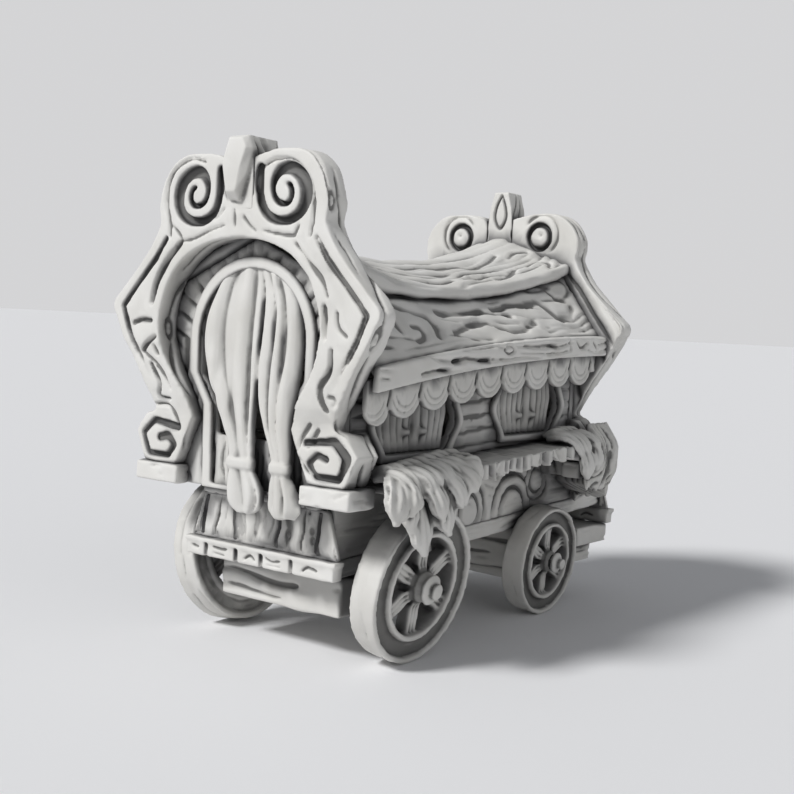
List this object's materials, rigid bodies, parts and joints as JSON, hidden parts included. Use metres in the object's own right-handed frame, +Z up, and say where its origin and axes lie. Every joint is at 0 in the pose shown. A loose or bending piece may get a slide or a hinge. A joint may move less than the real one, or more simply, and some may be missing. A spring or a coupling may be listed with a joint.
{
  "type": "vardo wagon miniature",
  "caption": "Carved fantasy vardo wagon, a resin tabletop miniature with scrolled arches, curtained door and four turning wheels.",
  "frame": {"origin": "on the ground under the middle of the wagon, at the centre of its bounding box", "axes": "+X to the wagon's right side, -Y out of the curtained door end with the tall wheels, +Z up"},
  "size_m": [0.0736, 0.1302, 0.105],
  "materials": {
    "resin_body": "matte",
    "resin_soft_forms": "matte",
    "resin_running_gear": "matte"
  },
  "bodies": {
    "wagon": {"far_arch": "resin_body", "far_axle": "resin_running_gear", "far_block_board": "resin_body", "far_curtains": "resin_soft_forms", "far_door_frame": "resin_body", "far_keystone": "resin_body", "far_plinths": "resin_body", "far_skirt": "resin_body", "far_wall": "resin_body", "floor": "resin_body", "left_fascia": "resin_body", "left_fur_drape": "resin_soft_forms", "left_ledge": "resin_body", "left_lower_panel": "resin_body", "left_roof_panel": "resin_body", "left_sill": "resin_body", "left_thatch": "resin_soft_forms", "left_valance": "resin_soft_forms", "left_wall": "resin_body", "left_window_curtains": "resin_soft_forms", "left_window_frames": "resin_body", "near_arch": "resin_body", "near_axle": "resin_running_gear", "near_block_board": "resin_body", "near_curtains": "resin_soft_forms", "near_door_frame": "resin_body", "near_keystone": "resin_body", "near_plinths": "resin_body", "near_skirt": "resin_body", "near_wall": "resin_body", "porch_bolster": "resin_body", "right_fascia": "resin_body", "right_fur_drape": "resin_soft_forms", "right_ledge": "resin_body", "right_lower_panel": "resin_body", "right_roof_panel": "resin_body", "right_sill": "resin_body", "right_thatch": "resin_soft_forms", "right_valance": "resin_soft_forms", "right_wall": "resin_body", "right_window_curtains": "resin_soft_forms", "right_window_frames": "resin_body", "roof_cap": "resin_body"},
    "far_left_wheel": {"far_left_wheel": "resin_running_gear"},
    "far_right_wheel": {"far_right_wheel": "resin_running_gear"},
    "near_left_wheel": {"near_left_wheel": "resin_running_gear"},
    "near_right_wheel": {"near_right_wheel": "resin_running_gear"}
  },
  "joints": [
    {"name": "far_left_spin", "type": "hinge", "parent": "wagon", "child": "far_left_wheel", "pos_m": [-0.02086, 0.0263, 0.01344], "axis": [-0.9971, 0, -0.0755], "continuous": true},
    {"name": "far_right_spin", "type": "hinge", "parent": "wagon", "child": "far_right_wheel", "pos_m": [0.02086, 0.0263, 0.01344], "axis": [0.9971, 0, -0.0755], "continuous": true},
    {"name": "near_left_spin", "type": "hinge", "parent": "wagon", "child": "near_left_wheel", "pos_m": [-0.02534, -0.0338, 0.0167], "axis": [-0.9875, 0, -0.1576], "continuous": true},
    {"name": "near_right_spin", "type": "hinge", "parent": "wagon", "child": "near_right_wheel", "pos_m": [0.02534, -0.0338, 0.0167], "axis": [0.9875, 0, -0.1576], "continuous": true}
  ]
}
